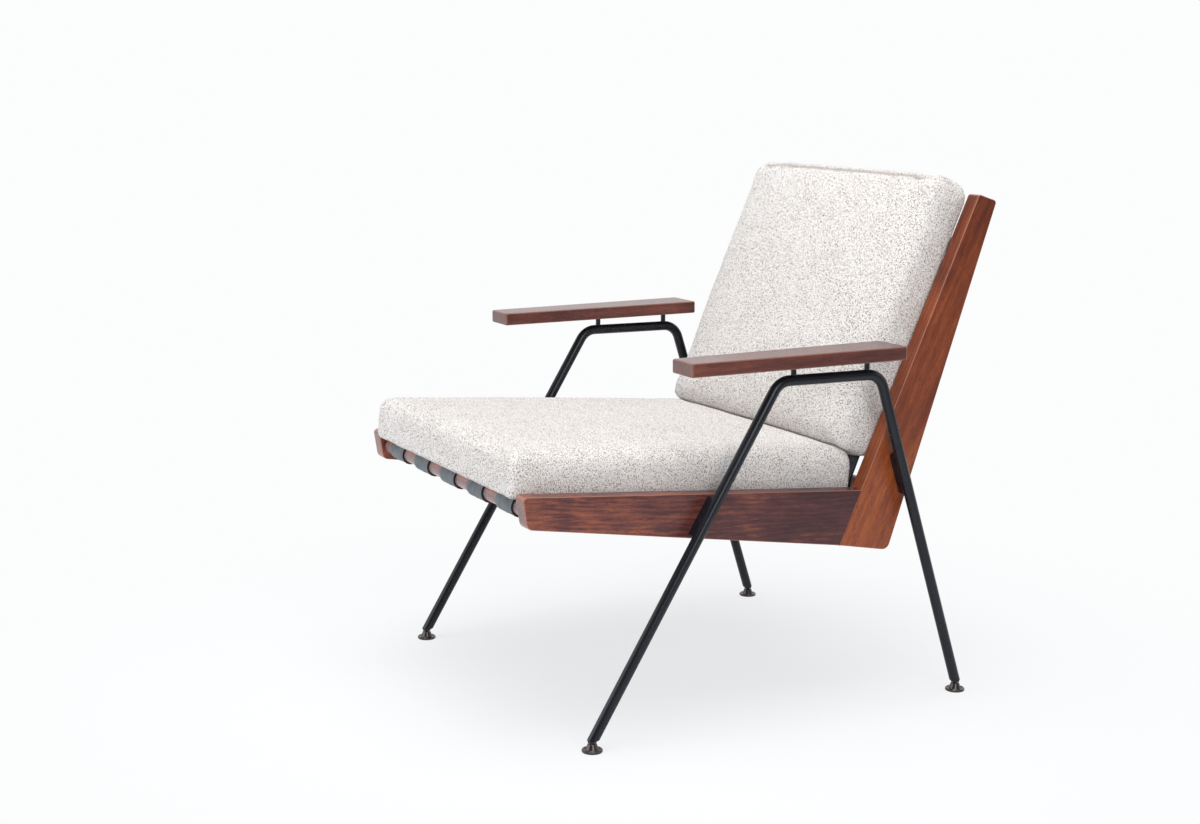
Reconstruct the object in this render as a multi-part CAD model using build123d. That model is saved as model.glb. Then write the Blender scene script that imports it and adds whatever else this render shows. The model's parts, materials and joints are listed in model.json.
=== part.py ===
from build123d import *
import os
from math import cos, radians, sin, sqrt, tan

# Lounge armchair with wooden side boards, tube leg frames, strapped seat and back, loose cushions.
# Sizes are in millimetres. X runs across, with the sitter's left at +X, Y runs from front to back,
# and Z is up from the floor.

# Side boards
inside_width = 520.0
board_thickness = 26.0
board_ease = 2.0
rail_nose_y = -392.0
rail_nose_z = 371.0
seat_slope = 4.1
rail_length = 561.5
rail_nose_depth = 46.0
rail_nose_rake = 11.0
rail_nose_top_round = 6.0
rail_nose_bottom_round = 11.0

# Raked uprights, measured along and square to their front edge
back_rake = 24.3
joint_length = 89.6
upright_length = 480.0
upright_foot_width = 88.0
upright_foot_lift = 22.0
upright_head_width = 35.6
upright_head_lift = 4.3
upright_foot_round = 12.0
upright_head_round = 5.0

# Dowels in the joint of rail and upright
dowel_diameter = 10.0
dowel_length = 56.0
dowel_end_gap = 1.0
dowel_edge_distance = 24.0

# Crossbars, with a round tenon at each end
bar_diameter = 24.0
tenon_diameter = 14.0
tenon_length = 14.0
tenon_end_gap = 0.8
front_bar_setback = 25.0
rear_bar_from_joint = 60.0
strap_drop = 9.5
lower_bar_rise = 9.0
lower_bar_depth = 28.8
upper_bar_from_head = 80.0
upper_bar_depth = 19.0
glue_gap = 0.05

# Straps and their tacks
strap_count = 5
strap_width = 53.0
strap_pitch = 102.0
strap_thickness = 3.0
strap_wrap = 208.0
strap_gap = 0.1
tack_diameter = 1.8
tack_length = 13.0
tack_head_diameter = 6.0
tack_head_height = 1.0
tack_edge_distance = 12.0

# Tube leg frames
tube_diameter = 16.0
tube_wall = 1.5
tube_bend_radius = 30.0
tube_top_z = 509.0
tube_end_z = 17.0
front_foot_y = -292.0
rear_foot_y = 344.0
front_corner_y = 4.1
rear_corner_y = 179.7
leg_aim_z = 14.3
board_to_tube = 12.0

# Mounting blocks and their bolts
block_length = 62.0
block_width = 10.0
rear_block_drop = 16.5
bolt_diameter = 6.0
bolt_spacing = 36.0
bolt_head_diameter = 10.5
bolt_head_height = 3.3
bolt_bite = 9.0
bolt_end_gap = 0.8
washer_diameter = 13.0
washer_thickness = 1.5
counterbore_depth = 6.0
bolt_gap = 0.3
thread_gap = 0.05

# Armrests and their posts
arm_front_y = -158.5
arm_length = 360.5
arm_front_z = 547.8
arm_rise = 5.6
arm_thickness = 20.0
arm_front_width = 58.0
arm_rear_width = 72.6
arm_outward_shift = 1.8
arm_corner_round = 5.0
arm_ease = 2.5
post_diameter = 8.0
front_post_inset = 7.0
rear_post_inset = 2.0
stud_diameter = 6.0
stud_length = 11.0
insert_diameter = 10.0
insert_length = 13.0
insert_end_gap = 0.5

# Tilting glides
glide_diameter = 30.0
glide_rim_height = 4.0
glide_rim_width = 2.4
glide_groove = 0.8
hub_base_diameter = 19.0
hub_top_diameter = 13.0
hub_top_z = 12.0
ball_diameter = 11.0
ball_z = 8.0
ball_gap = 0.05
neck_diameter = 5.0
neck_top_z = 20.5
plug_head_z = 14.0
plug_head_diameter = 13.0
plug_length = 26.0
plug_gap = 0.1

# Cushions
cover_thickness = 2.5
cushion_side_gap = 2.5
cushion_rest_gap = 0.4
cushion_draw_in = 3.0
seat_cushion_overhang = 6.7
seat_cushion_rear_reach = 1.8
seat_cushion_height = 61.0
seat_cushion_crown = 14.0
seat_cushion_round = 13.0
back_cushion_head_reach = 9.5
back_cushion_height = 66.0
back_cushion_crown = 20.0
back_cushion_round = 14.0

# Planes across the chair that the pieces share
board_inner_x = inside_width / 2
board_outer_x = board_inner_x + board_thickness
tube_radius = tube_diameter / 2
leg_x = board_outer_x + board_to_tube + tube_radius
strap_xs = [(i - (strap_count - 1) / 2) * strap_pitch for i in range(strap_count)]
bar_radius = bar_diameter / 2
strap_outer_radius = bar_radius + strap_gap + strap_thickness


# Points of the side view, as (y, z)
def seat_point(along, height):
    """A point measured from the rail's top front corner, along the seat and square to it."""
    a = radians(seat_slope)
    y = rail_nose_y + along * cos(a) + height * sin(a)
    z = rail_nose_z - along * sin(a) + height * cos(a)
    return y, z


joint_y, joint_z = seat_point(rail_length, 0)


def upright_point(along, behind):
    """A point measured from the top of the rail joint, up the upright's front edge and behind it."""
    a = radians(back_rake)
    y = joint_y + along * sin(a) + behind * cos(a)
    z = joint_z + along * cos(a) - behind * sin(a)
    return y, z


def crossing(p, q, r, s):
    """Where the line through p and q meets the line through r and s."""
    d1 = Vector(q[0] - p[0], q[1] - p[1])
    d2 = Vector(s[0] - r[0], s[1] - r[1])
    gap = Vector(r[0] - p[0], r[1] - p[1])
    t = (gap.X * d2.Y - gap.Y * d2.X) / (d1.X * d2.Y - d1.Y * d2.X)
    return p[0] + d1.X * t, p[1] + d1.Y * t


def middle(p, q):
    return (p[0] + q[0]) / 2, (p[1] + q[1]) / 2


def side_plane(x, point, toward):
    """A plane square to X through a side-view point, with its own x axis pointing at another point."""
    direction = Vector(0, toward[0] - point[0], toward[1] - point[1])
    return Plane(origin=(x, point[0], point[1]), x_dir=direction, z_dir=(1, 0, 0))


def rod_across(point, radius, x_from, x_to):
    """A round rod along X through a side-view point."""
    rod = Cylinder(radius, x_to - x_from, align=(Align.CENTER, Align.CENTER, Align.MIN))
    return Plane.YZ.offset(x_from) * Pos(point[0], point[1], 0) * rod


def to_right(part):
    """The mirror image of a left-hand piece."""
    return mirror(part, about=Plane.YZ)


# Corners of the side boards in the side view
rail_nose_top = seat_point(0, 0)
rail_nose_bottom = seat_point(rail_nose_rake, -rail_nose_depth)
joint_top = upright_point(0, 0)
joint_bottom = upright_point(-joint_length, 0)
upright_head_front = upright_point(upright_length, 0)
upright_head_rear = upright_point(upright_length + upright_head_lift, upright_head_width)
upright_foot_rear = upright_point(upright_foot_lift - joint_length, upright_foot_width)

# Centres of the crossbars: the seat straps lie a little below the rail tops
front_bar = seat_point(front_bar_setback, -strap_drop - strap_outer_radius)
rear_bar = seat_point(rail_length - rear_bar_from_joint, -strap_drop - strap_outer_radius)
lower_bar = upright_point(lower_bar_rise, lower_bar_depth)
upper_bar = upright_point(upright_length - upper_bar_from_head, upper_bar_depth)
seat_strap_plane = side_plane(0, front_bar, rear_bar)
back_strap_plane = side_plane(0, lower_bar, upper_bar)
seat_strap_span = (Vector(*front_bar) - Vector(*rear_bar)).length
back_strap_span = (Vector(*lower_bar) - Vector(*upper_bar)).length

# Leg centre lines: each aims at the axis of its glide, a little above the floor
front_aim = (front_foot_y, leg_aim_z)
rear_aim = (rear_foot_y, leg_aim_z)
front_corner = (front_corner_y, tube_top_z)
rear_corner = (rear_corner_y, tube_top_z)


def leg_at_z(aim, corner, z):
    """The point of a leg's centre line at a height."""
    share = (z - aim[1]) / (corner[1] - aim[1])
    return aim[0] + (corner[0] - aim[0]) * share, z


# Mounting blocks sit where each leg crosses the middle of its board
rail_middle = (middle(rail_nose_top, rail_nose_bottom), middle(joint_top, joint_bottom))
upright_middle = (middle(joint_bottom, upright_foot_rear), middle(upright_head_front, upright_head_rear))
front_block = crossing(front_aim, front_corner, *rail_middle)
rear_crossing = crossing(rear_aim, rear_corner, *upright_middle)
rear_block = leg_at_z(rear_aim, rear_corner, rear_crossing[1] - rear_block_drop)
front_block_plane = side_plane(board_outer_x, front_block, front_corner)
rear_block_plane = side_plane(board_outer_x, rear_block, rear_corner)
bolt_offsets = (-bolt_spacing / 2, bolt_spacing / 2)


def bolt_places(block_plane):
    """The side-view points of a block's two bolts."""
    places = []
    for offset in bolt_offsets:
        spot = block_plane.from_local_coords(Vector(offset, 0, 0))
        places.append((spot.Y, spot.Z))
    return places


front_bolts = bolt_places(front_block_plane)
rear_bolts = bolt_places(rear_block_plane)


# Wooden side boards
def side_board(points, rounds):
    """A board of the given side-view outline, between the inner and outer board planes."""
    outline = make_face(FilletPolyline(*points, radius=rounds, close=True))
    return Plane.YZ.offset(board_inner_x) * extrude(outline, board_thickness)


def eased(board, keep_sharp=()):
    """Rounds the edges of a board's two broad faces, apart from edges that lie near the given points."""
    edges = board.faces().filter_by(Axis.X).edges()
    for point in keep_sharp:
        edges = [e for e in edges if abs(e.center().Y - point[0]) + abs(e.center().Z - point[1]) > 1]
    return fillet(edges, board_ease)


def dowel_axes():
    """Planes on the joint face of rail and upright, one for each dowel, facing into the upright."""
    into_upright = Vector(0, cos(radians(back_rake)), -sin(radians(back_rake)))
    middle_x = (board_inner_x + board_outer_x) / 2
    planes = []
    for along in (-dowel_edge_distance, dowel_edge_distance - joint_length):
        y, z = upright_point(along, 0)
        planes.append(Plane(origin=(middle_x, y, z), z_dir=into_upright))
    return planes


def dowel_bores():
    bore = Cylinder(dowel_diameter / 2 + glue_gap, dowel_length + 2 * dowel_end_gap)
    return [plane * bore for plane in dowel_axes()]


def tenon_bore(bar):
    depth = board_inner_x + tenon_length + tenon_end_gap
    return rod_across(bar, tenon_diameter / 2 + glue_gap, board_inner_x, depth)


def bolt_bores(bolts):
    """Clearance holes through a board, with counterbores for the heads on its inner side."""
    bores = []
    for bolt in bolts:
        recess_radius = washer_diameter / 2 + bolt_gap
        bores.append(rod_across(bolt, bolt_diameter / 2 + bolt_gap, board_inner_x, board_outer_x))
        bores.append(rod_across(bolt, recess_radius, board_inner_x, board_inner_x + counterbore_depth))
    return bores


def make_seat_rail():
    corners = (rail_nose_top, rail_nose_bottom, joint_bottom, joint_top)
    board = side_board(corners, (rail_nose_top_round, rail_nose_bottom_round, 0, 0))
    board = eased(board, keep_sharp=[middle(joint_bottom, joint_top)])
    return board - dowel_bores() - tenon_bore(front_bar) - tenon_bore(rear_bar) - bolt_bores(front_bolts)


def make_upright():
    corners = (joint_bottom, upright_foot_rear, upright_head_rear, upright_head_front)
    board = side_board(corners, (0, upright_foot_round, upright_head_round, upright_head_round))
    strip_top = upright_point(0, board_ease)
    strip_bottom = upright_point(-joint_length, board_ease)
    joint_strip = side_board((joint_bottom, joint_top, strip_top, strip_bottom), (0, 0, 0, 0))
    square_strip = joint_strip & board
    board = eased(board) + square_strip
    return board - dowel_bores() - tenon_bore(lower_bar) - tenon_bore(upper_bar) - bolt_bores(rear_bolts)


def make_dowels():
    peg = chamfer(Cylinder(dowel_diameter / 2, dowel_length).edges(), glue_gap * 20)
    left = [plane * peg for plane in dowel_axes()]
    return left + [to_right(p) for p in left]


# Straps and crossbars
def tack_spots():
    """Places across the chair of every tack along one crossbar."""
    reach = strap_width / 2 - tack_edge_distance
    return [x + side * reach for x in strap_xs for side in (-1, 1)]


def tack_at(plane, along, x, clearance=0.0):
    """A tack driven square into the far side of a crossbar, through the end of its strap."""
    head_y = -strap_outer_radius
    upward = (Align.CENTER, Align.CENTER, Align.MIN)
    downward = (Align.CENTER, Align.CENTER, Align.MAX)
    shank = Cylinder(tack_diameter / 2 + clearance, tack_length + clearance, align=upward)
    head = Cylinder(tack_head_diameter / 2, tack_head_height, align=downward)
    body = shank if clearance else shank + head
    return plane * Pos(along, head_y, x) * Rot(-90, 0, 0) * body


def make_tacks(plane, span):
    return [tack_at(plane, along, x) for along in (0, span) for x in tack_spots()]


def make_crossbar(bar, plane, along):
    body = rod_across(bar, bar_radius, -board_inner_x, board_inner_x)
    tenon_x = board_inner_x + tenon_length
    tenons = rod_across(bar, tenon_diameter / 2, -tenon_x, tenon_x)
    return body + tenons - [tack_at(plane, along, x, glue_gap) for x in tack_spots()]


def strap_line(radius, span):
    """One face of a strap in the side view: round the second bar, across, and round the first."""
    second = CenterArc((span, 0), radius, 90 - strap_wrap, strap_wrap)
    across = Line((span, radius), (0, radius))
    first = CenterArc((0, 0), radius, 90, strap_wrap)
    return [second, across, first]


def make_strap(plane, span, x):
    inner = strap_line(bar_radius + strap_gap, span)
    outer = strap_line(strap_outer_radius, span)
    ends = [Line(inner[0] @ 0, outer[0] @ 0), Line(inner[2] @ 1, outer[2] @ 1)]
    outline = make_face(inner + outer + ends)
    strap = plane * Pos(0, 0, x - strap_width / 2) * extrude(outline, strap_width)
    holes = [tack_at(plane, along, spot, glue_gap) for along in (0, span) for spot in tack_spots()]
    return strap - [hole for hole in holes if abs(hole.center().X - x) < strap_width / 2]


# Leg frames of bent tube
def leg_path():
    toe_front = leg_at_z(front_aim, front_corner, 0)
    toe_rear = leg_at_z(rear_aim, rear_corner, 0)
    line = FilletPolyline(toe_front, front_corner, rear_corner, toe_rear, radius=tube_bend_radius)
    return Plane.YZ.offset(leg_x) * line


def sweep_tube(section):
    path = leg_path()
    return sweep(Plane(origin=path @ 0, z_dir=path % 0) * section, path=path)


def below(z):
    """Everything under a height, as a block wider than the chair."""
    size = 4 * (upright_length + rail_length)
    return Pos(0, 0, z) * Box(size, size, size, align=(Align.CENTER, Align.CENTER, Align.MAX))


tube_rod = sweep_tube(Circle(tube_radius))


def make_leg_frame():
    bore = sweep_tube(Circle(tube_radius - tube_wall))
    return tube_rod - bore - below(tube_end_z)


def make_block(plane, bolts):
    """A block welded to the tube, hollowed to its round, with two threaded holes for the bolts."""
    depth = leg_x - sqrt(tube_radius**2 - (block_width / 2) ** 2) - board_outer_x
    block = plane * Box(block_length, block_width, depth, align=(Align.CENTER, Align.CENTER, Align.MIN))
    bore_end = board_outer_x + bolt_bite + bolt_end_gap
    threads = [rod_across(b, bolt_diameter / 2 + thread_gap, board_outer_x, bore_end) for b in bolts]
    return block - tube_rod - threads


def make_bolts():
    head_top = board_inner_x + counterbore_depth - washer_thickness - bolt_head_height
    head_seat = head_top + bolt_head_height
    tip = board_outer_x + bolt_bite
    left = []
    for bolt in front_bolts + rear_bolts:
        head = rod_across(bolt, bolt_head_diameter / 2, head_top, head_seat)
        left.append(head + rod_across(bolt, bolt_diameter / 2, head_seat, tip))
    return left + [to_right(b) for b in left]


def make_washers():
    seat = board_inner_x + counterbore_depth
    left = []
    for bolt in front_bolts + rear_bolts:
        disc = rod_across(bolt, washer_diameter / 2, seat - washer_thickness, seat)
        left.append(disc - rod_across(bolt, bolt_diameter / 2 + bolt_gap, 0, seat))
    return left + [to_right(w) for w in left]


# Armrests, each on two posts that stand on the tube's top bar
arm_x = leg_x + arm_outward_shift
arm_front = (arm_front_y, arm_front_z - arm_thickness)
arm_rear = (arm_front_y + arm_length, arm_front_z - arm_thickness + arm_rise)
arm_run = (Vector(*arm_rear) - Vector(*arm_front)).length
arm_plane = Plane(
    origin=(arm_x, *arm_front),
    x_dir=(1, 0, 0),
    z_dir=(0, arm_front[1] - arm_rear[1], arm_rear[0] - arm_front[0]),
)


def bend_run(corner, aim):
    """How far a bend reaches from its corner along the top bar."""
    lean = abs(corner[0] - aim[0]) / (corner[1] - aim[1])
    turn = 90 - Vector(1, lean).get_angle(Vector(1, 0))
    return tube_bend_radius * tan(radians(turn / 2))


def arm_underside(y):
    return arm_front[1] + (y - arm_front[0]) * arm_rise / arm_length


post_ys = (
    front_corner_y + bend_run(front_corner, front_aim) + front_post_inset,
    rear_corner_y - bend_run(rear_corner, rear_aim) - rear_post_inset,
)


def above_underside():
    """Everything above the armrest's underside."""
    size = 4 * arm_run
    return arm_plane * Box(size, size, size, align=(Align.CENTER, Align.CENTER, Align.MIN))


def upright_rod(y, radius, z_from, z_to):
    """A vertical round rod over the leg frame."""
    rod = Cylinder(radius, z_to - z_from, align=(Align.CENTER, Align.CENTER, Align.MIN))
    return Pos(leg_x, y, z_from) * rod


def make_armrest():
    front = arm_front_width / 2
    rear = arm_rear_width / 2
    outline = FilletPolyline(
        (-front, 0), (front, 0), (rear, arm_run), (-rear, arm_run), radius=arm_corner_round, close=True
    )
    board = extrude(make_face(outline), arm_thickness)
    board = arm_plane * fillet(board.faces().filter_by(Axis.Z).edges(), arm_ease)
    depth = insert_length + insert_end_gap
    bore = insert_diameter / 2 + glue_gap
    return board - [upright_rod(y, bore, tube_top_z, arm_underside(y) + depth) for y in post_ys]


def make_arm_post(y):
    """A post coped to the tube, with a stud that screws up into the armrest."""
    shoulder = upright_rod(y, post_diameter / 2, tube_top_z, arm_underside(y) + arm_thickness)
    shoulder = shoulder - above_underside()
    stud = upright_rod(y, stud_diameter / 2, tube_top_z, arm_underside(y) + stud_length)
    return shoulder + stud - tube_rod


def make_inserts():
    left = []
    for y in post_ys:
        base = arm_underside(y)
        sleeve = upright_rod(y, insert_diameter / 2, base, base + insert_length) & above_underside()
        left.append(sleeve - upright_rod(y, stud_diameter / 2 + thread_gap, tube_top_z, base + insert_length))
    return left + [to_right(s) for s in left]


# Tilting glides: a plug in the tube end, a ball stud, and a pad that snaps over the ball
def make_plug(aim, corner):
    foot = leg_at_z(aim, corner, tube_end_z)
    axis = Plane(origin=(leg_x, *foot), z_dir=(0, corner[0] - aim[0], corner[1] - aim[1]))
    shank = axis * Cylinder(tube_radius - tube_wall - plug_gap, 2 * plug_length) - below(tube_end_z)
    head_height = tube_end_z - plug_head_z
    head = Cylinder(plug_head_diameter / 2, head_height, align=(Align.CENTER, Align.CENTER, Align.MIN))
    hole = Cylinder(neck_diameter / 2 + thread_gap, 2 * neck_top_z)
    return shank + Pos(leg_x, aim[0], plug_head_z) * head - Pos(leg_x, aim[0], 0) * hole


def make_ball_stud(aim):
    ball = Pos(0, 0, ball_z) * Sphere(ball_diameter / 2)
    neck = Cylinder(neck_diameter / 2, neck_top_z - ball_z, align=(Align.CENTER, Align.CENTER, Align.MIN))
    return Pos(leg_x, aim[0], 0) * (ball + Pos(0, 0, ball_z) * neck)


def make_glide_pad(aim):
    rim = glide_diameter / 2
    groove = rim - glide_rim_width
    corner = glide_groove
    outline = Polyline(
        (0, 0),
        (rim - corner, 0),
        (rim, corner),
        (rim, glide_rim_height - corner),
        (rim - corner, glide_rim_height),
        (groove, glide_rim_height),
        (groove - corner, glide_rim_height - glide_groove),
        (hub_base_diameter / 2 + corner, glide_rim_height - glide_groove),
        (hub_base_diameter / 2, glide_rim_height),
        (hub_top_diameter / 2, hub_top_z - corner / 2),
        (hub_top_diameter / 2 - corner / 2, hub_top_z),
        (0, hub_top_z),
        close=True,
    )
    pad = revolve(Plane.XZ * make_face(outline), axis=Axis.Z)
    return Pos(leg_x, aim[0], 0) * (pad - Pos(0, 0, ball_z) * Sphere(ball_diameter / 2 + ball_gap))


# Cushions: a crowned block with drawn-in sides, lofted through sections along its length
def cushion_section(share, half_width, height, crown, edge, inset):
    """One closed section of lines and arcs, flat below and crowned above."""
    swell = 1 - (2 * share - 1) ** 2
    half = half_width - cushion_draw_in * swell - inset
    low = inset
    high = height - inset
    bend = edge - inset / 2
    slack = bend * (1 - sqrt(0.5))
    arch = max(crown * swell, crown / 20)
    right = [
        Line((0, low), (half - bend, low)),
        ThreePointArc((half - bend, low), (half - slack, low + slack), (half, low + bend)),
        Line((half, low + bend), (half, high - bend)),
        ThreePointArc((half, high - bend), (half - slack, high - slack), (half - bend, high)),
    ]
    left = [mirror(piece, about=Plane.YZ) for piece in right]
    top = ThreePointArc((half - bend, high), (0, high + arch), (bend - half, high))
    return make_face(right + left + [top])


def cushion_block(length, half_width, height, crown, edge):
    """The block lies on its own XY plane, with its length along Y."""
    ends = [edge * (1 - cos(radians(turn))) for turn in (0, 25, 55, 90)]
    spots = ends + [length * k / 8 for k in range(1, 8)] + [length - e for e in reversed(ends)]
    sections = []
    for spot in spots:
        reach = min(spot, length - spot, edge)
        inset = edge - sqrt(edge**2 - (edge - reach) ** 2)
        face = cushion_section(spot / length, half_width, height, crown, edge, inset)
        sections.append(Plane(origin=(0, spot, 0), x_dir=(-1, 0, 0), z_dir=(0, 1, 0)) * face)
    return loft(sections, ruled=True)


def make_cushion(plane, length, half_width, height, crown, edge):
    """A fabric cover and the foam core that fills it."""
    skin = cover_thickness
    outer = cushion_block(length, half_width, height, crown, edge)
    core = cushion_block(length - 2 * skin, half_width - skin, height - 2 * skin, crown, edge - skin)
    core = Pos(0, skin, skin) * core
    return plane * (outer - core), plane * core


# The seat cushion lies on the seat straps, overhangs the front, and ends at the uprights
seat_cushion_length = rail_length + seat_cushion_overhang + seat_cushion_rear_reach
seat_cushion_front = seat_point(-seat_cushion_overhang, cushion_rest_gap - strap_drop)
seat_cushion_plane = Plane(
    origin=(0, *seat_cushion_front),
    x_dir=(1, 0, 0),
    z_dir=(0, sin(radians(seat_slope)), cos(radians(seat_slope))),
)

# The back cushion leans on the back straps, stands on the seat cushion's rear edge, and ends above
# the heads of the uprights
back_up = back_strap_plane.x_dir
back_forward = back_strap_plane.y_dir
seat_edge_swell = seat_cushion_crown * (1 - (1 - 2 * seat_cushion_round / seat_cushion_length) ** 2)
seat_edge_centre = seat_point(
    seat_cushion_length - seat_cushion_overhang - seat_cushion_round,
    cushion_rest_gap - strap_drop + seat_cushion_height + seat_edge_swell - seat_cushion_round,
)
seat_edge_offset = Vector(0, *seat_edge_centre) - back_strap_plane.origin
back_cushion_start = seat_edge_offset.dot(back_up) + seat_cushion_round + cushion_rest_gap
back_cushion_length = upright_length + back_cushion_head_reach - lower_bar_rise - back_cushion_start
back_cushion_plane = Plane(
    origin=back_strap_plane.from_local_coords(
        Vector(back_cushion_start, strap_outer_radius + cushion_rest_gap, 0)
    ),
    x_dir=(1, 0, 0),
    z_dir=back_forward,
)

seat_cover, seat_foam = make_cushion(
    seat_cushion_plane,
    seat_cushion_length,
    board_inner_x - cushion_side_gap,
    seat_cushion_height,
    seat_cushion_crown,
    seat_cushion_round,
)
back_cover, back_foam = make_cushion(
    back_cushion_plane,
    back_cushion_length,
    board_inner_x - cushion_side_gap,
    back_cushion_height,
    back_cushion_crown,
    back_cushion_round,
)

# Every piece by name
parts = {
    "joint_dowels": make_dowels(),
    "front_seat_crossbar": make_crossbar(front_bar, seat_strap_plane, 0),
    "rear_seat_crossbar": make_crossbar(rear_bar, seat_strap_plane, seat_strap_span),
    "lower_back_crossbar": make_crossbar(lower_bar, back_strap_plane, 0),
    "upper_back_crossbar": make_crossbar(upper_bar, back_strap_plane, back_strap_span),
    "seat_strap_tacks": make_tacks(seat_strap_plane, seat_strap_span),
    "back_strap_tacks": make_tacks(back_strap_plane, back_strap_span),
    "frame_bolts": make_bolts(),
    "frame_washers": make_washers(),
    "arm_inserts": make_inserts(),
    "seat_cushion_cover": seat_cover,
    "seat_cushion_foam": seat_foam,
    "back_cushion_cover": back_cover,
    "back_cushion_foam": back_foam,
}
for i, strap_x in enumerate(strap_xs, start=1):
    parts[f"seat_strap_{i}"] = make_strap(seat_strap_plane, seat_strap_span, strap_x)
    parts[f"back_strap_{i}"] = make_strap(back_strap_plane, back_strap_span, strap_x)

left_parts = {
    "seat_rail": make_seat_rail(),
    "upright": make_upright(),
    "armrest": make_armrest(),
    "leg_frame": make_leg_frame(),
    "front_mounting_block": make_block(front_block_plane, front_bolts),
    "rear_mounting_block": make_block(rear_block_plane, rear_bolts),
    "front_arm_post": make_arm_post(post_ys[0]),
    "rear_arm_post": make_arm_post(post_ys[1]),
}
for end, aim, corner in (("front", front_aim, front_corner), ("rear", rear_aim, rear_corner)):
    left_parts[f"{end}_glide_plug"] = make_plug(aim, corner)
    left_parts[f"{end}_ball_stud"] = make_ball_stud(aim)
    left_parts[f"{end}_glide_pad"] = make_glide_pad(aim)
for name, piece in left_parts.items():
    parts[f"left_{name}"] = piece
    parts[f"right_{name}"] = to_right(piece)

os.makedirs("parts", exist_ok=True)
for name, piece in parts.items():
    solids = piece if isinstance(piece, list) else [piece]
    shape = Compound(children=solids) if len(solids) > 1 else solids[0]
    export_step(shape, f"parts/{name}.step")
    print(name, len(shape.solids()), round(shape.volume, 1))
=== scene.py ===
# %% [markdown]
# # A lounge armchair on bent tube legs
# Two raked wooden sides hang between black tube frames. Straps carry a loose seat cushion and a loose
# back cushion in a looped off-white fabric. This lesson dresses the measured chair: it sets the camera,
# makes a finish for each material, sews the cushions by cloth simulation, and lights the set.
# The rigid pieces arrive with their true size and place, so only their finishes are made here.

# %% Load the measured chair
import json
from math import cos, pi, radians, sin

import bpy
import numpy as np
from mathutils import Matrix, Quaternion, Vector, noise
from mathutils.bvhtree import BVHTree


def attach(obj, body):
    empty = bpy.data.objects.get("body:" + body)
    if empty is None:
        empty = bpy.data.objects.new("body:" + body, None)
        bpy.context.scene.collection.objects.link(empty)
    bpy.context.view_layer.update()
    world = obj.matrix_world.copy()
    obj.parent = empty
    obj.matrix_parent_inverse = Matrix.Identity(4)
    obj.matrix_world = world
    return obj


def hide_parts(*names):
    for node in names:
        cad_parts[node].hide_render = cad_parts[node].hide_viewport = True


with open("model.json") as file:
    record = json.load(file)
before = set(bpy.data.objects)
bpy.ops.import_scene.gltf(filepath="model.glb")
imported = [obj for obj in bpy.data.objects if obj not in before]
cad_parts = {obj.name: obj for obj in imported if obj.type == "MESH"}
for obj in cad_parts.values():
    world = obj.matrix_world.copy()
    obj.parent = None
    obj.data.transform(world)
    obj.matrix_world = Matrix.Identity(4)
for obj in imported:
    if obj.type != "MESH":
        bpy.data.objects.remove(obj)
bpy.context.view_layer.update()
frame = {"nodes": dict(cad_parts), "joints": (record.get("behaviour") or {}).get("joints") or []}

nodes = frame["nodes"]


def add(name, data):
    """A new object in the scene."""
    made = bpy.data.objects.new(name, data)
    bpy.context.scene.collection.objects.link(made)
    return made


# %% [markdown]
# ## Camera
# The camera stands at the sitter's front left, a little above the back's top, and looks slightly down.
# Its place, direction and lens were worked out from the chair's own straight lines, so the render can
# be laid over the photograph. A small roll turns the picture about the lens axis.

# %% Place the camera
eye = Vector((2.5734, -1.4663, 0.9332))
gaze = Vector((-0.87359, 0.45507, -0.17262))
roll = radians(0.6)
lens_data = bpy.data.cameras.new("studio_camera")
lens_data.sensor_fit = "HORIZONTAL"
lens_data.sensor_width = 36.0
lens_data.lens = 57.0
camera = add("studio_camera", lens_data)
camera.rotation_mode = "QUATERNION"
camera.rotation_quaternion = gaze.to_track_quat("-Z", "Y") @ Quaternion((0, 0, 1), roll)
camera.location = eye
bpy.context.scene.camera = camera
print("camera at", [round(c, 2) for c in eye], "lens", lens_data.lens)

# %% [markdown]
# ## Writing a finish as arithmetic
# A finish is a tree of shader nodes. Placing nodes one by one hides the idea, so a small class wraps an
# output socket: sums and products of wrapped sockets add Math nodes by themselves, and one method adds
# any other node with its settings and inputs.


# %% A socket that does arithmetic
class Wire:
    """An output socket of a shader node. Arithmetic on it adds Math nodes to the same tree."""

    def __init__(self, socket):
        self.socket = socket

    @classmethod
    def node(cls, tree, kind, settings=None, inputs=None, output=0):
        """Adds a node of a kind: first its settings, then its inputs, as values or wires."""
        made = tree.nodes.new("ShaderNode" + kind)
        for name, value in (settings or {}).items():
            if name == "stops":
                ramp = made.color_ramp.elements
                while len(ramp) < len(value):
                    ramp.new(1.0)
                for stop, (place, colour) in zip(ramp, value):
                    stop.position = place
                    stop.color = (*colour, 1.0)
            else:
                setattr(made, name, value)
        for name, value in (inputs or {}).items():
            if isinstance(value, Wire):
                tree.links.new(value.socket, made.inputs[name])
            else:
                made.inputs[name].default_value = value
        return cls(made.outputs[output])

    def math(self, operation, *others):
        inputs = dict(enumerate((self, *others)))
        return Wire.node(self.socket.id_data, "Math", {"operation": operation}, inputs)

    def __add__(self, other):
        return self.math("ADD", other)

    __radd__ = __add__

    def __sub__(self, other):
        return self.math("SUBTRACT", other)

    def __rsub__(self, other):
        return self.math("MULTIPLY", -1.0) + other

    def __mul__(self, other):
        return self.math("MULTIPLY", other)

    __rmul__ = __mul__

    def __truediv__(self, other):
        return self.math("DIVIDE", other)

    def __pow__(self, other):
        return self.math("POWER", other)


print("Wire has", [n for n in vars(Wire) if n.startswith("__") and n.endswith("__")])


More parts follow.
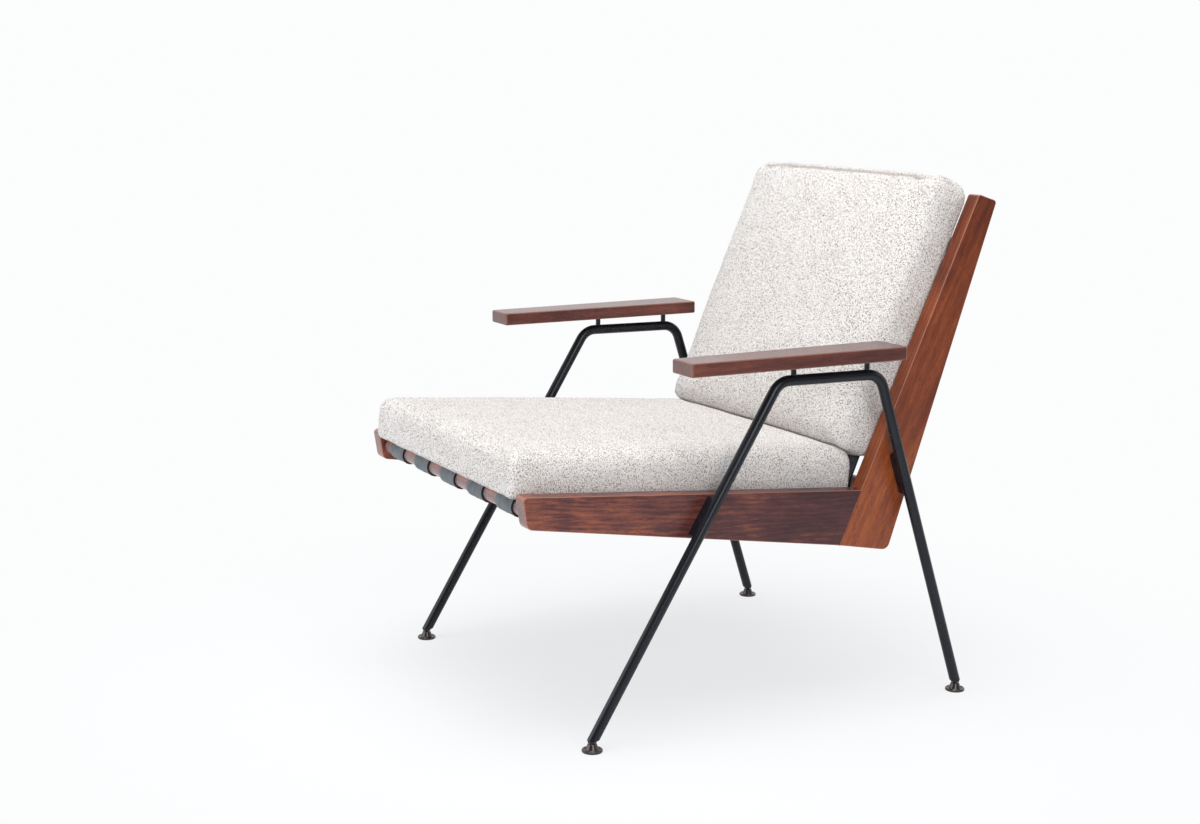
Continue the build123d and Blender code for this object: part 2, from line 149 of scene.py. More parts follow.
# %% A finish and the nodes most finishes share
class Finish:
    """A material with one Principled shader, and short names for the nodes that the finishes share."""

    def __init__(self, name):
        self.material = bpy.data.materials.new(name)
        self.material.use_nodes = True
        self.tree = self.material.node_tree
        self.shader = self.tree.nodes["Principled BSDF"]
        self.place = self.node("TexCoord", output="Object")

    def node(self, kind, settings=None, inputs=None, output=0):
        return Wire.node(self.tree, kind, settings, inputs, output)

    def moved(self, vector, turn=(0, 0, 0), scale=(1, 1, 1)):
        """The same place, turned and stretched."""
        return self.node("Mapping", inputs={"Vector": vector, "Rotation": turn, "Scale": scale})

    def split(self, vector):
        """The three parts of a vector."""
        return [self.node("SeparateXYZ", inputs={0: vector}, output=k) for k in range(3)]

    def noise(self, vector, scale, detail=3.0, rough=0.55, distortion=0.0):
        inputs = {"Vector": vector, "Scale": scale, "Detail": detail, "Roughness": rough}
        return self.node("TexNoise", inputs={**inputs, "Distortion": distortion})

    def between(self, value, low, high):
        """0 below low, 1 above high, smooth in between."""
        inputs = {"Value": value, "From Min": low, "From Max": high}
        return self.node("MapRange", {"interpolation_type": "SMOOTHSTEP"}, inputs)

    def ramp(self, value, *stops):
        return self.node("ValToRGB", {"stops": stops}, {"Fac": value})

    def mix(self, share, first, second):
        """The first colour, with a share of the second, at the Mix node's factor and colour sockets."""
        inputs = {0: share, 6: first, 7: (*second, 1.0) if isinstance(second, tuple) else second}
        if isinstance(first, tuple):
            inputs[6] = (*first, 1.0)
        return self.node("Mix", {"data_type": "RGBA"}, inputs, output=2)

    def bump(self, height, depth, strength):
        return self.node("Bump", inputs={"Height": height, "Distance": depth, "Strength": strength})

    def feed(self, **sockets):
        """Sets the shader's own sockets, as numbers, colours or wires."""
        for name, value in sockets.items():
            socket = self.shader.inputs[name.replace("_", " ")]
            if isinstance(value, Wire):
                self.tree.links.new(value.socket, socket)
            else:
                socket.default_value = (*value, 1.0) if isinstance(value, tuple) else value
        return self.material


def hexed(code):
    """The linear colour of a six-digit code, by the curve that screens use."""
    parts = [int(code[i : i + 2], 16) / 255 for i in (0, 2, 4)]
    return tuple(p / 12.92 if p <= 0.04045 else ((p + 0.055) / 1.055) ** 2.4 for p in parts)


def dress(material, *names):
    """Gives a finish to every piece whose name ends in one of the given names."""
    found = [n for n in nodes if n.endswith(names)]
    for name in found:
        nodes[name].data.materials.clear()
        nodes[name].data.materials.append(material)
    print(material.name, "on", len(found), "pieces")


# %% [markdown]
# ## Oiled wood
# The boards are a red-brown hardwood with a satin oil finish. On the real board the figure is the
# tree's growth rings cut lengthwise, so the finish builds rings round a far-off pith line and lets them
# wander along the board. The rings are faint. What the eye reads first are broad zones that drift from
# plum to orange brown, then hair-fine fibres and short dark pores. Because it is a solid texture, the
# ends of the boards show end grain without extra work. Every board turns the texture to its own grain.


# %% Wood finish
def oiled_wood(
    name, turn, pith, plum, brown, amber, figure=1.0, lean=(0.0, 0.0), end_grain_and_sheen=0.42, worn_and_highlit_edges=0.55, gloss=0.20
):
    """Wood whose grain runs along the texture's Y axis after the given turn.

    The figure says how far rings and zones wander. The lean says how fast the tone rises along the board,
    and where it is even. The three shares are of grey end faces, end grain with a painted reflection; of
    pale edges, worn and with a painted highlight; and of the coat of oil.
    """
    wood = Finish(name)
    board = wood.moved(wood.place, turn=turn)
    across, along, up = wood.split(board)

    def drawn_out(rate, **settings):
        """Noise drawn out along the grain, which is slower there by the given rate."""
        return wood.noise(wood.moved(board, scale=(1.0, rate, 1.0)), **settings)

    ring_width, wander = 0.008, 0.055 * figure
    drift = drawn_out(0.14, scale=8.0, detail=4.0, rough=0.6)
    reach = ((across - pith[0]) ** 2.0 + (up - pith[1]) ** 2.0) ** 0.5
    phase = (reach + (drift - 0.5) * wander) / ring_width
    rings = (phase * (2 * pi)).math("SINE") * 0.5 + 0.5
    zone = drawn_out(0.36, scale=17.0, detail=2.5, rough=0.5, distortion=1.1 * figure)
    streak = drawn_out(0.09, scale=430.0, detail=3.0, rough=0.65)
    fibre = drawn_out(0.06, scale=760.0, detail=3.0, rough=0.7)
    pores = wood.between(drawn_out(0.18, scale=760.0, detail=2.0, rough=0.5), 0.56, 0.68)

    grain = 0.10 * (rings - 0.5) + 0.42 * (streak - 0.5) + 0.40 * (fibre - 0.5)
    tone = 0.62 * (zone - 0.5) + grain + lean[0] * (along - lean[1]) + 0.5
    colour = wood.ramp(tone, (0.26, plum), (0.50, brown), (0.74, amber))
    pore_colour, end_grain_sheen_colour, worn_and_highlight_colour = tuple(c * 0.5 for c in plum), hexed("8f8284"), hexed("bd7f67")
    colour = wood.mix(0.45 * pores, colour, pore_colour)

    facing = wood.moved(wood.node("TexCoord", output="Normal"), turn=turn)
    sides = [part.math("ABSOLUTE") for part in wood.split(facing)]
    # Greyer on the end faces: end grain, with a painted reflection of the pale room.
    colour = wood.mix(end_grain_and_sheen * wood.between(sides[1], 0.60, 0.95), colour, end_grain_sheen_colour)
    flatness = sides[0].math("MAXIMUM", sides[1]).math("MAXIMUM", sides[2])
    # Paler along the rounded edges: wear, and a painted highlight where the edges catch the light.
    colour = wood.mix(worn_and_highlit_edges * wood.between(1 - flatness, 0.02, 0.16), colour, worn_and_highlight_colour)
    return wood.feed(
        Base_Color=colour,
        Roughness=0.26 + 0.14 * fibre + 0.12 * pores,
        Normal=wood.bump(0.6 * fibre + 0.3 * streak - pores, depth=0.00010, strength=0.5),
        Specular_IOR_Level=0.30,
        Coat_Weight=gloss,
        Coat_Roughness=0.18,
    )


# %% Wood on the boards, bars and pegs
seat_slope, back_rake, arm_slope = radians(4.1), radians(24.3), radians(0.9)
rail_wood = oiled_wood(
    "oiled_wood_rail",
    turn=(seat_slope, 0, 0),
    pith=(0.42, 0.10),
    plum=hexed("3c1d20"), brown=hexed("572f2e"), amber=hexed("96523a"),
    figure=1.3,
    lean=(-0.50, -0.15),
)
upright_wood = oiled_wood(
    "oiled_wood_upright",
    turn=(back_rake - pi / 2, 0, 0),
    pith=(0.75, -0.3),
    plum=hexed("5a2614"), brown=hexed("7f3c1f"), amber=hexed("a3562c"),
    figure=0.7,
    lean=(-0.40, 0.52),
    worn_and_highlit_edges=0.45,
)
arm_wood = oiled_wood(
    "oiled_wood_arm",
    turn=(-arm_slope, 0, 0),
    pith=(0.05, 0.72),
    plum=hexed("401d1a"), brown=hexed("5a2d26"), amber=hexed("7a4232"),
    end_grain_and_sheen=0.15,
    worn_and_highlit_edges=0.22,
    gloss=0.40,
)
bar_wood = oiled_wood(
    "oiled_wood_bar",
    turn=(0, 0, pi / 2),
    pith=(0.1, 0.4),
    plum=hexed("665154"), brown=hexed("8b7679"), amber=hexed("a28d8b"),
    figure=0.8,
)
peg_wood = oiled_wood(
    "pale_peg_wood",
    turn=(back_rake, 0, 0),
    pith=(0.3, 0.2),
    plum=hexed("a98257"), brown=hexed("c49d70"), amber=hexed("d8b78c"),
    figure=0.5,
)
dress(rail_wood, "seat_rail")
dress(upright_wood, "upright")
dress(arm_wood, "armrest")
dress(bar_wood, "crossbar")
dress(peg_wood, "joint_dowels")

# %% [markdown]
# ## Black powder coat
# The tubes, blocks and arm posts are sprayed with powder and baked. The skin is a soft black that
# shows a broad highlight and a very fine orange peel, so a small bump and a little change in roughness
# say more than any change of colour.

# %% Powder coat finish
coat = Finish("black_powder_coat")
deep_black, soft_black = (0.0050, 0.0060, 0.0095), (0.0090, 0.0108, 0.0165)
peel = coat.noise(coat.place, scale=900.0, detail=2.0, rough=0.5)
haze = coat.noise(coat.place, scale=14.0, detail=3.0, rough=0.5)
black_steel = coat.feed(
    Base_Color=coat.ramp(haze, (0.3, deep_black), (0.7, soft_black)),
    Roughness=0.22 + 0.10 * haze,
    Normal=coat.bump(peel, depth=0.00005, strength=0.6),
    Specular_IOR_Level=0.33,
)
dress(black_steel, "leg_frame", "mounting_block", "arm_post")

# %% [markdown]
# ## Straps
# The straps are black rubber-faced webbing that has gone slate grey where it bends over the bars. Fine
# ribs run along each strap, and its cut edges stay black. The faces and the cut edges differ in the way
# they face, so the edge colour is chosen by the surface direction.

# %% Strap finish
strap = Finish("ribbed_strap")
rib_width, straps_each_way = 0.0026, 5
sideways = strap.split(strap.node("NewGeometry", output="Normal"))[0].math("ABSOLUTE")
ribs = (strap.split(strap.place)[0] * (2 * pi / rib_width)).math("SINE") * 0.5 + 0.5
wear = strap.noise(strap.place, scale=90.0, detail=4.0, rough=0.6)
face_grey = strap.ramp(wear, (0.3, hexed("5a6064")), (0.7, hexed("787f83")))
# Darker in the troughs between the ribs: painted shade in the grooves.
face_grey = strap.mix(0.35 * (1 - ribs), face_grey, hexed("3d4246"))
strap_rubber = strap.feed(
    Base_Color=strap.mix(strap.between(sideways, 0.75, 0.95), face_grey, hexed("121314")),
    Roughness=0.62 + 0.15 * wear,
    Normal=strap.bump(ribs + 0.4 * wear, depth=0.0002, strength=0.6),
)
dress(strap_rubber, *(f"_strap_{k + 1}" for k in range(straps_each_way)))

# %% [markdown]
# ## Glides and fasteners
# Each foot is a dark moulded pad on a ball stud, with a plug in the tube. The pads are glossy and carry
# fine scuffs near the floor. The hidden bolts, washers, tacks and studs are plated steel, and the arm
# inserts are turned brass. The marks of tool or floor run one way, so the noise is drawn out along it.

# %% Glide and plug finishes
glide = Finish("moulded_glide")
round_the_pad = glide.moved(glide.place, scale=(1, 1, 5))
scuff = glide.between(glide.noise(round_the_pad, scale=260.0, detail=4.0, rough=0.65), 0.52, 0.75)
dress(
    glide.feed(
        Base_Color=glide.mix(0.5 * scuff, hexed("2a1f1c"), hexed("4a3c37")),
        Roughness=0.20 + 0.25 * scuff,
        Normal=glide.bump(scuff, depth=0.00004, strength=0.4),
        Specular_IOR_Level=0.6,
    ),
    "glide_pad",
)
plug = Finish("plain_plug")
grit = plug.noise(plug.place, scale=700.0, detail=3.0, rough=0.6)
dress(
    plug.feed(
        Base_Color=plug.ramp(grit, (0.3, hexed("17181a")), (0.7, hexed("24262a"))),
        Roughness=0.55 + 0.2 * grit,
        Normal=plug.bump(grit, depth=0.00008, strength=0.5),
    ),
    "glide_plug",
)

# %% Steel and brass finishes
steel = Finish("plated_steel")
along_bolt = steel.moved(steel.place, scale=(0.15, 1, 1))
lathe = steel.noise(along_bolt, scale=1400.0, detail=2.0, rough=0.5)
dress(
    steel.feed(
        Base_Color=steel.ramp(lathe, (0.3, hexed("8f9294")), (0.7, hexed("b9bcbe"))),
        Metallic=1.0,
        Roughness=0.28 + 0.18 * lathe,
        Normal=steel.bump(lathe, depth=0.00003, strength=0.4),
    ),
    "ball_stud", "frame_bolts", "frame_washers", "tacks",
)
brass = Finish("turned_brass")
round_insert = brass.moved(brass.place, scale=(0.2, 0.2, 1))
turned = brass.noise(round_insert, scale=1600.0, detail=2.0, rough=0.5)
dress(
    brass.feed(
        Base_Color=brass.ramp(turned, (0.3, hexed("9c7a3c")), (0.7, hexed("c7a55e"))),
        Metallic=1.0,
        Roughness=0.3 + 0.15 * turned,
    ),
    "arm_inserts",
)

# %% [markdown]
# ## Looped fabric
# The covers are a boucle: a yarn that curls into thick cream loops on a thin brown ground. Loops could
# be real curves, but tens of thousands of them would be heavy. Two fields of fine noise give the curls
# instead, in the bump and in the colour: their tops are off-white, and the gaps between them are dark,
# partly the brown ground and partly painted shade between the loops. The seam is stored on the cover's
# points, and the fabric is darkened along it: painted shade in the seam's groove.

# %% Fabric finish
boucle = Finish("looped_boucle")


def loops(turn, scale):
    """Short curls of round yarn: 1 on top of a curl, 0 in the gaps between them."""
    curled = boucle.moved(boucle.place, turn=turn, scale=(0.8, 1, 1))
    return boucle.between(boucle.noise(curled, scale, detail=2.0, rough=0.6), 0.33, 0.59)


large_loops = loops(turn=(0.7, 0.3, 0.2), scale=580.0)
small_loops = loops(turn=(0.1, 1.1, 0.6), scale=790.0)
pile = large_loops.math("MINIMUM", 0.25 + small_loops)
yarn = boucle.noise(boucle.place, scale=1300.0, detail=2.0, rough=0.6)
patch = boucle.noise(boucle.place, scale=28.0, detail=2.0, rough=0.5)
# Its dark end colours the gaps between the loops: the brown ground, with painted shade in the gaps.
cover_colour = boucle.ramp(
    pile + 0.25 * (yarn - 0.5) + 0.15 * (patch - 0.5),
    (0.00, hexed("715d54")), (0.22, hexed("bcaea5")), (0.46, hexed("ebe5e0")),
    (0.70, hexed("faf8f6")), (1.00, hexed("fdfcfb")),
)
# Where the seam runs, the colour is darkened below: painted shade in the seam's groove.
seam_groove_shade = boucle.node("Attribute", {"attribute_name": "seam"}, output="Fac")
boucle_cloth = boucle.feed(
    Base_Color=boucle.mix(0.5 * seam_groove_shade, cover_colour, hexed("6a5a50")),
    Roughness=0.95,
    Normal=boucle.bump(pile + 0.2 * yarn, depth=0.0012, strength=0.75),
    Specular_IOR_Level=0.12,
    Sheen_Weight=0.15,
    Sheen_Roughness=0.6,
)
print("fabric nodes", len(boucle.tree.nodes))

# %% [markdown]
# ## Sewing the cushions
# A boxed cushion is a block of foam in a cover that is cut a little small. The cover swells over the
# faces, its edges go round, its sides draw in between the corners, and it lies flat on whatever carries
# it. The foam block is the start: it is remeshed evenly and blown up as cloth. The blown shape is then
# stretched to the cut of its cover, so it keeps the measured size. Each step works on all the points at
# once, as rows of numbers.


# %% Points of a cover, and its own axes
TINY = 1e-6


def rows_of(items, what):
    values = np.zeros(len(items) * 3)
    items.foreach_get(what, values)
    return values.reshape(-1, 3)


def points_of(piece):
    return rows_of(piece.data.vertices, "co")


def normals_of(piece):
    return rows_of(piece.data.vertex_normals, "vector")


def place(cover, points):
    """Puts the points of a cover at new places."""
    cover.data.vertices.foreach_set("co", points.ravel())
    cover.data.update()


class Rest:
    """A cushion's own axes: across, along its length, and out of the straps that carry it."""

    def __init__(self, name, along, out):
        along, out = Vector(along).normalized(), Vector(out).normalized()
        self.axes = np.array([along.cross(out), along, out])
        self.foam = nodes[name + "_foam"]
        cut = self.inward(points_of(nodes[name + "_cover"]))
        self.low, self.high = cut.min(0), cut.max(0)

    def inward(self, points):
        return points @ self.axes.T

    def outward(self, local):
        return local @ self.axes


seat_along = (0, cos(seat_slope), -sin(seat_slope))
seat_rest = Rest("seat_cushion", seat_along, (0, sin(seat_slope), cos(seat_slope)))
back_up = next(j for j in frame["joints"] if j["name"] == "back_cushion_lift")["axis"]
back_rest = Rest("back_cushion", back_up, (0, -back_up[2], back_up[1]))
for rest in (seat_rest, back_rest):
    print("cover", [round(float(v), 3) for v in rest.high - rest.low])

# %% [markdown]
# The cloth step copies the foam block, remeshes it with even squares and inflates it. A cap on each
# point's travel keeps the cover close to its cut. A smoothing pass then rounds the edges, as the stuffed
# cover does on the real cushion.


# %% Blow up a cover
def inflate(cover, pressure=4.0, steps=20):
    """Runs a cover as cloth under pressure, with no gravity, and keeps the result."""
    cloth = cover.modifiers.new("inflate", "CLOTH")
    cloth.settings.use_pressure = True
    cloth.settings.uniform_pressure_force = pressure
    cloth.settings.effector_weights.gravity = 0.0
    cloth.settings.quality = 5
    cloth.settings.tension_stiffness = 15.0
    cloth.settings.compression_stiffness = 15.0
    cloth.settings.bending_stiffness = 0.5
    cloth.collision_settings.use_collision = False
    for step in range(1, steps + 1):
        bpy.context.scene.frame_set(step)
    bpy.ops.object.modifier_apply(modifier=cloth.name)
    bpy.context.scene.frame_set(1)


def soften(cover, times):
    """Rounds the edges of a cover by drawing each point towards its neighbours."""
    smooth = cover.modifiers.new("soften", "SMOOTH")
    smooth.factor = 0.5
    smooth.iterations = times
    bpy.context.view_layer.objects.active = cover
    bpy.ops.object.modifier_apply(modifier=smooth.name)


def blown_cover(name, rest, rounding, voxel=0.005, cap=0.007):
    """A cover blown up from the foam block as cloth, with capped travel and rounded edges."""
    cover = add(name, rest.foam.data.copy())
    bpy.context.view_layer.objects.active = cover
    cover.select_set(True)
    cover.data.materials.clear()
    cover.data.materials.append(boucle_cloth)
    cover.data.remesh_voxel_size = voxel
    bpy.ops.object.voxel_remesh()
    start = points_of(cover)
    inflate(cover)
    travel = points_of(cover) - start
    length = np.linalg.norm(travel, axis=1)
    place(cover, start + travel * np.minimum(1, cap / np.maximum(length, TINY))[:, None])
    soften(cover, rounding)
    print(name, len(start), "points, largest travel", round(float(length.max()), 4))
    return cover


# %% [markdown]
# The blown shape is stretched to the cover's cut, drawn in between the corners, and pressed flat on the
# straps and against the wooden sides. Smoothing has pulled its sides in unevenly, so the width is read
# off a coarse grid along each side and made good. The crown is filled out, as firm foam does.


# %% Grids over a cover
def cells_of(values, edges):
    """The cell of each value between the given edges, and the middles of the cells."""
    cell = np.clip(np.digitize(values, edges) - 1, 0, len(edges) - 2)
    return cell, (edges[:-1] + edges[1:]) / 2


def read_grid(grid, rows, columns, row_at, column_at):
    """A grid of values, read smoothly between its cells."""
    i = np.interp(row_at, rows, np.arange(len(rows)))
    j = np.interp(column_at, columns, np.arange(len(columns)))
    i0 = np.minimum(i.astype(int), len(rows) - 2)
    j0 = np.minimum(j.astype(int), len(columns) - 2)
    i, j = i - i0, j - j0
    near = grid[i0, j0] * (1 - j) + grid[i0, j0 + 1] * j
    far = grid[i0 + 1, j0] * (1 - j) + grid[i0 + 1, j0 + 1] * j
    return near * (1 - i) + far * i


def widest(along, level, off, spans, levels):
    """The largest offset in each cell along and up a side, read back smoothly at every point."""
    row, rows = cells_of(along, spans)
    column, columns = cells_of(level, levels)
    grid = np.zeros((len(rows), len(columns)))
    np.maximum.at(grid, (row, column), off)
    return read_grid(grid, rows, columns, along, level)


# %% Fit a cover to its cut
SPANS = np.linspace(-0.88, 0.88, 17)
LEVELS = np.array([0, 0.004, 0.04, 0.09, 0.15, 0.22, 0.30, 0.40, 0.50, 0.60])


def square_up(local, low, high, axis, other, tuck=0.012, tuck_height=0.15, least_reach=0.8):
    """Opens two opposite sides to the full cut in every slice, and tucks the edge that lies below."""
    middle, half = (low + high) / 2, (high - low) / 2
    share = (local - middle) / half
    level = (share[:, 2] + 1) / 2
    lower_half = np.minimum(level, 0.5)
    reach = widest(share[:, other], lower_half, np.abs(share[:, axis]), SPANS, LEVELS)
    opened = share[:, axis] / np.maximum(reach, least_reach)
    edge_round = 1 - tuck * np.clip(1 - level / tuck_height, 0, 1) ** 2
    local[:, axis] = middle[axis] + half[axis] * opened * edge_round


def fill_out(local, low, high, crisp):
    """Fills the crown out towards its edges, as firm foam does."""
    half = (high[2] - low[2]) / 2
    upper = np.clip((local[:, 2] - low[2] - half) / half, 0, 1)
    local[:, 2] += half * (1 - (1 - upper) ** crisp - upper)


def fit_to_cut(cover, rest, low, high, press, draw_in, crisp):
    """Stretches a cover to limits in its own axes. Its underside goes a little past and is pressed flat."""
    past = np.array([0.0, 0.0, press])
    local = rest.inward(points_of(cover))
    least, most = local.min(0), local.max(0)
    local = low - past + (local - least) * (high - low + past) / (most - least)
    local[:, 2] = np.maximum(local[:, 2], low[2])
    square_up(local, low, high, 0, 1)
    square_up(local, low, high, 1, 0)
    fill_out(local, low, high, crisp)
    share = (2 * local - low - high) / (high - low)
    local[:, 0] -= draw_in[0] * share[:, 0] ** 3 * (1 - share[:, 1] ** 2)
    local[:, 1] -= draw_in[1] * share[:, 1] ** 3 * (1 - share[:, 0] ** 2)
    place(cover, rest.outward(np.clip(local, low, high)))
    soften(cover, times=6)


# %% [markdown]
# A seam runs where one panel of the cover meets the next: low round the seat cushion, and along the top
# of the back cushion. On a rounded edge the surface has turned by a known tilt there, so the tilt of the
# normals finds the line without drawing it. The same step divides the mesh once and roughens the skin a
# little, so the outline shows loops too.


# %% Sew a seam
def smooth_step(value, low, high):
    share = np.clip((value - low) / (high - low), 0, 1)
    return share * share * (3 - 2 * share)


def sew(cover, rest, seam_axis, seam_side, depth, reach):
    """Divides a cover once, sinks a seam along one edge, and roughens the skin with loops."""
    seam_tilt, seam_width, seam_fade = 0.66, 0.09, 0.035
    loops_per_metre, loop_height = 230.0, 0.0004
    divide = cover.modifiers.new("divide", "SUBSURF")
    divide.levels = 1
    bpy.context.view_layer.objects.active = cover
    bpy.ops.object.modifier_apply(modifier=divide.name)
    points, normals = points_of(cover), normals_of(cover)
    tilt = rest.inward(normals)[:, seam_axis] * seam_side
    groove = np.exp(-(((tilt - seam_tilt) / seam_width) ** 2))
    groove *= 1 - smooth_step(np.abs(points[:, 0]), reach - seam_fade, reach)
    loop = np.array([noise.noise(Vector(p) * loops_per_metre) for p in points])
    place(cover, points + normals * (loop_height * loop - depth * groove)[:, None])
    cover.data.attributes.new("seam", "FLOAT", "POINT").data.foreach_set("value", groove)
    cover.data.shade_smooth()
    print(cover.name, len(points), "points, seam on", int((groove > 0.5).sum()))


# %% Seat cushion
def beside_boards(rest, proud=0.0, half_width=0.2590):
    """The cut of a cover, opened to the wooden sides, and a little proud at its far end."""
    low, high = rest.low.copy(), rest.high.copy()
    low[0], high[0] = -half_width, half_width
    high[1] += proud
    return low, high


seat_cover = blown_cover("seat_cushion", seat_rest, rounding=12)
seat_cut = beside_boards(seat_rest)
fit_to_cut(seat_cover, seat_rest, *seat_cut, press=0.014, draw_in=(0.001, 0.002), crisp=1.8)
sew(seat_cover, seat_rest, seam_axis=2, seam_side=-1, depth=0.0015, reach=0.3)
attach(seat_cover, "seat_cushion")
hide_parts("seat_cushion_cover", "seat_cushion_foam")

# %% [markdown]
# The back cushion stands on the seat cushion. Where the two meet, the softer lower end takes the shape
# of what it stands on: the gap under it is measured with rays, evened out over a grid, and closed by
# sliding the points that face down along the cushion's length. Beside the outer straps nothing holds
# the rear face, so its margins bulge back a little, in between the uprights.


# %% Stand one cushion on the other
def spread(grid, times=8):
    """Blurs a grid of values over its neighbours."""
    for _ in range(times):
        wide = np.pad(grid, 1, mode="edge")
        beside = wide[:-2, 1:-1] + wide[2:, 1:-1] + wide[1:-1, :-2] + wide[1:-1, 2:]
        grid = (2 * grid + beside) / 6
    return grid


def stand_on(cover, rest, under, reach=0.03, lift=0.03, gap=0.0030, lower_end=0.08):
    """Lets the lower end of a cover take the shape of what it stands on, less a hair's gap."""
    tree = BVHTree.FromObject(under, bpy.context.evaluated_depsgraph_get())
    points = points_of(cover)
    local = rest.inward(points)
    down = -Vector(rest.axes[1])
    facing = smooth_step(-rest.inward(normals_of(cover))[:, 1], 0.55, 0.95)
    faces_down, faces_up = 0.3, 0.6
    most_up, most_down = 0.03, 0.012
    across_edges, out_edges = np.linspace(-0.26, 0.26, 53), np.linspace(rest.low[2], rest.high[2], 17)
    row, rows = cells_of(local[:, 0], across_edges)
    column, columns = cells_of(local[:, 2], out_edges)
    total = np.zeros((len(rows), len(columns)))
    count = total.copy()
    for i in np.nonzero((local[:, 1] < rest.low[1] + lower_end) & (facing > faces_down))[0]:
        spot, normal, _, distance = tree.ray_cast(Vector(points[i]) - down * lift, down, lift + reach)
        if spot is not None and normal.dot(down) < -faces_up:
            total[row[i], column[i]] += distance - lift - gap
            count[row[i], column[i]] += 1
    slide = spread(total) / np.maximum(spread(count), TINY)
    slide = read_grid(slide, rows, columns, local[:, 0], local[:, 2])
    height = local[:, 1] - local[:, 1].min()
    inner = 1 - smooth_step(np.abs(local[:, 0]), 0.215, 0.250)
    share = np.where(slide > 0, facing * inner, 1 - smooth_step(height, 0.01, 0.07))
    local[:, 1] -= np.clip(slide, -most_up, most_down) * share * (height < lower_end)
    place(cover, rest.outward(local))
    print(cover.name, "slides between", round(float(slide.min()), 4), "and", round(float(slide.max()), 4))


# %% Shape the back cushion's margins and corners
def bulge_margins(cover, rest, inner, outer, depth, fade=0.35):
    """Lets the rear face bulge back beside the outer straps."""
    local = rest.inward(points_of(cover))
    level = (local[:, 2] - rest.low[2]) / (rest.high[2] - rest.low[2])
    margin = smooth_step(np.abs(local[:, 0]), inner, outer) * np.clip(1 - level / fade, 0, 1)
    local[:, 2] -= depth * margin
    place(cover, rest.outward(local))


def round_corners(cover, rest, high, radius):
    """Rounds the two corners at the far end: each corner square becomes a quarter of a disc."""
    local = rest.inward(points_of(cover))
    side = (np.abs(local[:, 0]) - high[0] + radius) / radius
    end = (local[:, 1] - high[1] + radius) / radius
    corner = (side > 0) & (end > 0)
    draw = (np.maximum(side, end) / np.hypot(side, end))[corner]
    local[corner, 0] = np.sign(local[corner, 0]) * (high[0] - radius + radius * side[corner] * draw)
    local[corner, 1] = high[1] - radius + radius * end[corner] * draw
    place(cover, rest.outward(local))
    soften(cover, times=3)


# %% Back cushion
back_cover = blown_cover("back_cushion", back_rest, rounding=20)
back_cut = beside_boards(back_rest, proud=0.005)
fit_to_cut(back_cover, back_rest, *back_cut, press=0.020, draw_in=(0.0005, 0.001), crisp=1.2)
round_corners(back_cover, back_rest, back_cut[1], radius=0.034)
bulge_margins(back_cover, back_rest, inner=0.233, outer=0.243, depth=0.0026)
stand_on(back_cover, back_rest, seat_cover)
sew(back_cover, back_rest, seam_axis=1, seam_side=1, depth=0.0016, reach=0.245)
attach(back_cover, "back_cushion")
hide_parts("back_cushion_cover", "back_cushion_foam")

# %% [markdown]
# ## Set and light
# The chair stands on a pale floor that runs off into white. Only the camera and reflections see that
# white. Other rays see a plain floor and a dim room, so the white is not extra light on the chair, and
# the floor keeps the shadow. The main lamp is a large softbox above the chair. A low one in front lights
# the front faces, and a third fills from the camera's side.

# %% Floor
span = 14.0
corners = [(-span, -span, 0), (span, -span, 0), (span, span, 0), (-span, span, 0)]
floor_mesh = bpy.data.meshes.new("floor")
floor_mesh.from_pydata(corners, [], [(0, 1, 2, 3)])
floor = add("floor", floor_mesh)
backdrop = (0.975, 0.980, 0.985)
sweep_direction = (-0.84, 0.44, 0.32)


def ray(tree, kind):
    return Wire.node(tree, "LightPath", output=f"Is {kind} Ray")


def backdrop_share(tree, side):
    """How white a ray sees the set: fully from the camera, and by a share in gloss and through glass."""
    mirrored = ray(tree, "Glossy") + ray(tree, "Transmission")
    return (ray(tree, "Camera") + mirrored * side).math("MINIMUM", 1.0)


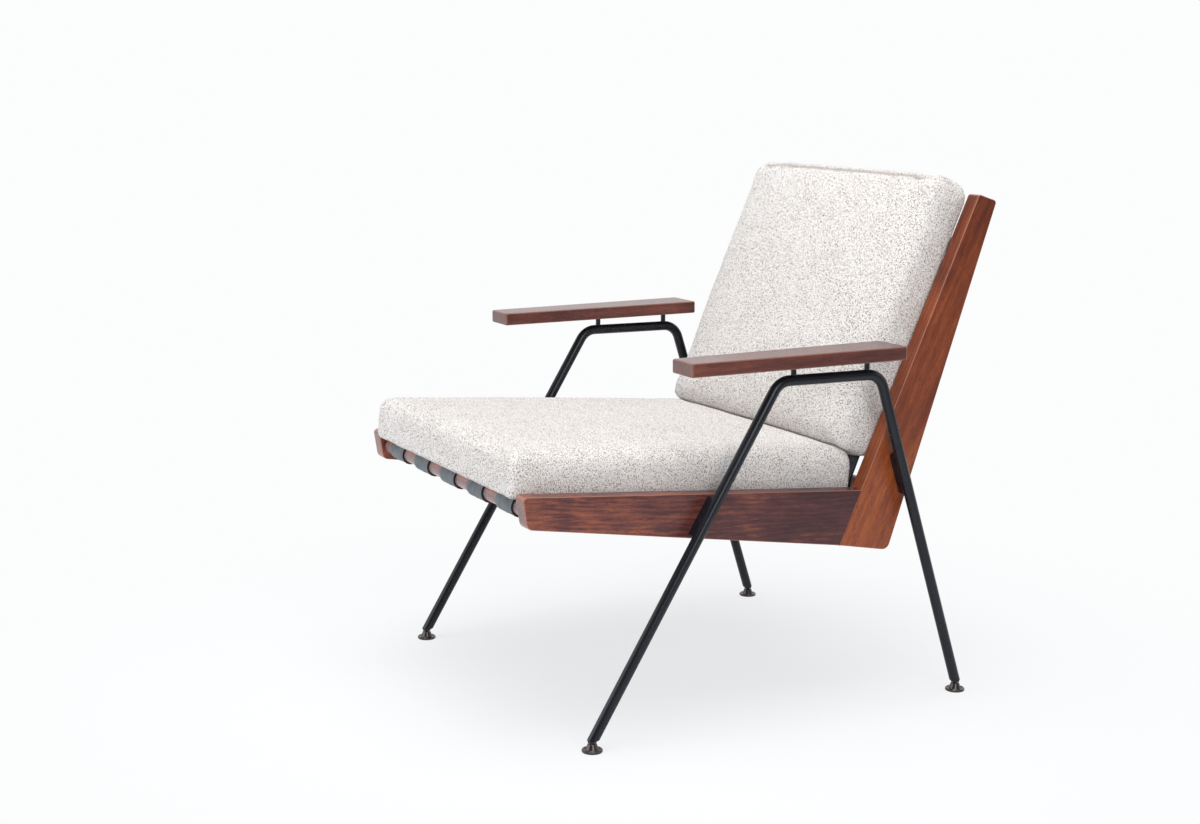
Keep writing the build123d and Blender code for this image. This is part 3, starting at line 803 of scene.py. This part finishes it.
def sweep_side(tree, place):
    """1 towards the white sweep behind the chair, 0 towards the open side of the room."""
    toward = {0: place, 1: sweep_direction}
    lean = Wire.node(tree, "VectorMath", {"operation": "DOT_PRODUCT"}, toward, output="Value")
    edges = {"Value": lean, "From Min": -0.55, "From Max": 0.25}
    return Wire.node(tree, "MapRange", {"interpolation_type": "SMOOTHSTEP"}, edges)


ground = Finish("pale_floor")
ground.feed(Base_Color=(0.85, 0.88, 0.92), Roughness=0.9, Specular_IOR_Level=0.1)
distance = ground.node("VectorMath", {"operation": "LENGTH"}, {0: ground.place}, output="Value")
under_chair = 0.68
far = ground.between(distance, 0.05, 1.15)
glow = ground.node("Emission", inputs={"Color": (*backdrop, 1.0), "Strength": 1.0})
body = Wire(ground.shader.outputs[0])
toward_sweep = sweep_side(ground.tree, ground.place)
white = backdrop_share(ground.tree, toward_sweep) * (under_chair + (1 - under_chair) * far)
blend = ground.node("MixShader", inputs={0: white, 1: body, 2: glow})
ground.tree.links.new(blend.socket, ground.tree.nodes["Material Output"].inputs["Surface"])
floor_mesh.materials.append(ground.material)
print("floor", span * 2, "m across")

# %% World and lamps
world = bpy.data.worlds.new("white_room")
world.use_nodes = True
bpy.context.scene.world = world
sky = world.node_tree
room_light, open_side = 0.36, 0.12
sweep = sweep_side(sky, Wire.node(sky, "TexCoord", output="Generated"))
unseen = 1 - backdrop_share(sky, 1.0)
strength = backdrop_share(sky, open_side + (1 - open_side) * sweep) + room_light * unseen
plain = sky.nodes["Background"]
plain.inputs["Color"].default_value = (*backdrop, 1)
sky.links.new(strength.socket, plain.inputs["Strength"])


def soft_lamp(name, place, target, size, watts):
    lamp = bpy.data.lights.new(name, "AREA")
    lamp.shape = "RECTANGLE"
    lamp.size, lamp.size_y = size
    lamp.energy = watts
    holder = add(name, lamp)
    holder.location = place
    holder.rotation_euler = (Vector(target) - Vector(place)).to_track_quat("-Z", "Y").to_euler()
    print(name, watts, "W")


seat_middle = (0, 0, 0.4)
soft_lamp("front_softbox", (-0.4, -1.9, 0.55), seat_middle, size=(1.6, 0.9), watts=11)
soft_lamp("camera_fill", (3.0, -0.6, 1.6), seat_middle, size=(1.6, 1.6), watts=36)
soft_lamp("top_softbox", (0.3, -0.3, 3.0), seat_middle, size=(2.2, 2.2), watts=70)
bpy.context.scene.view_settings.view_transform = "Standard"
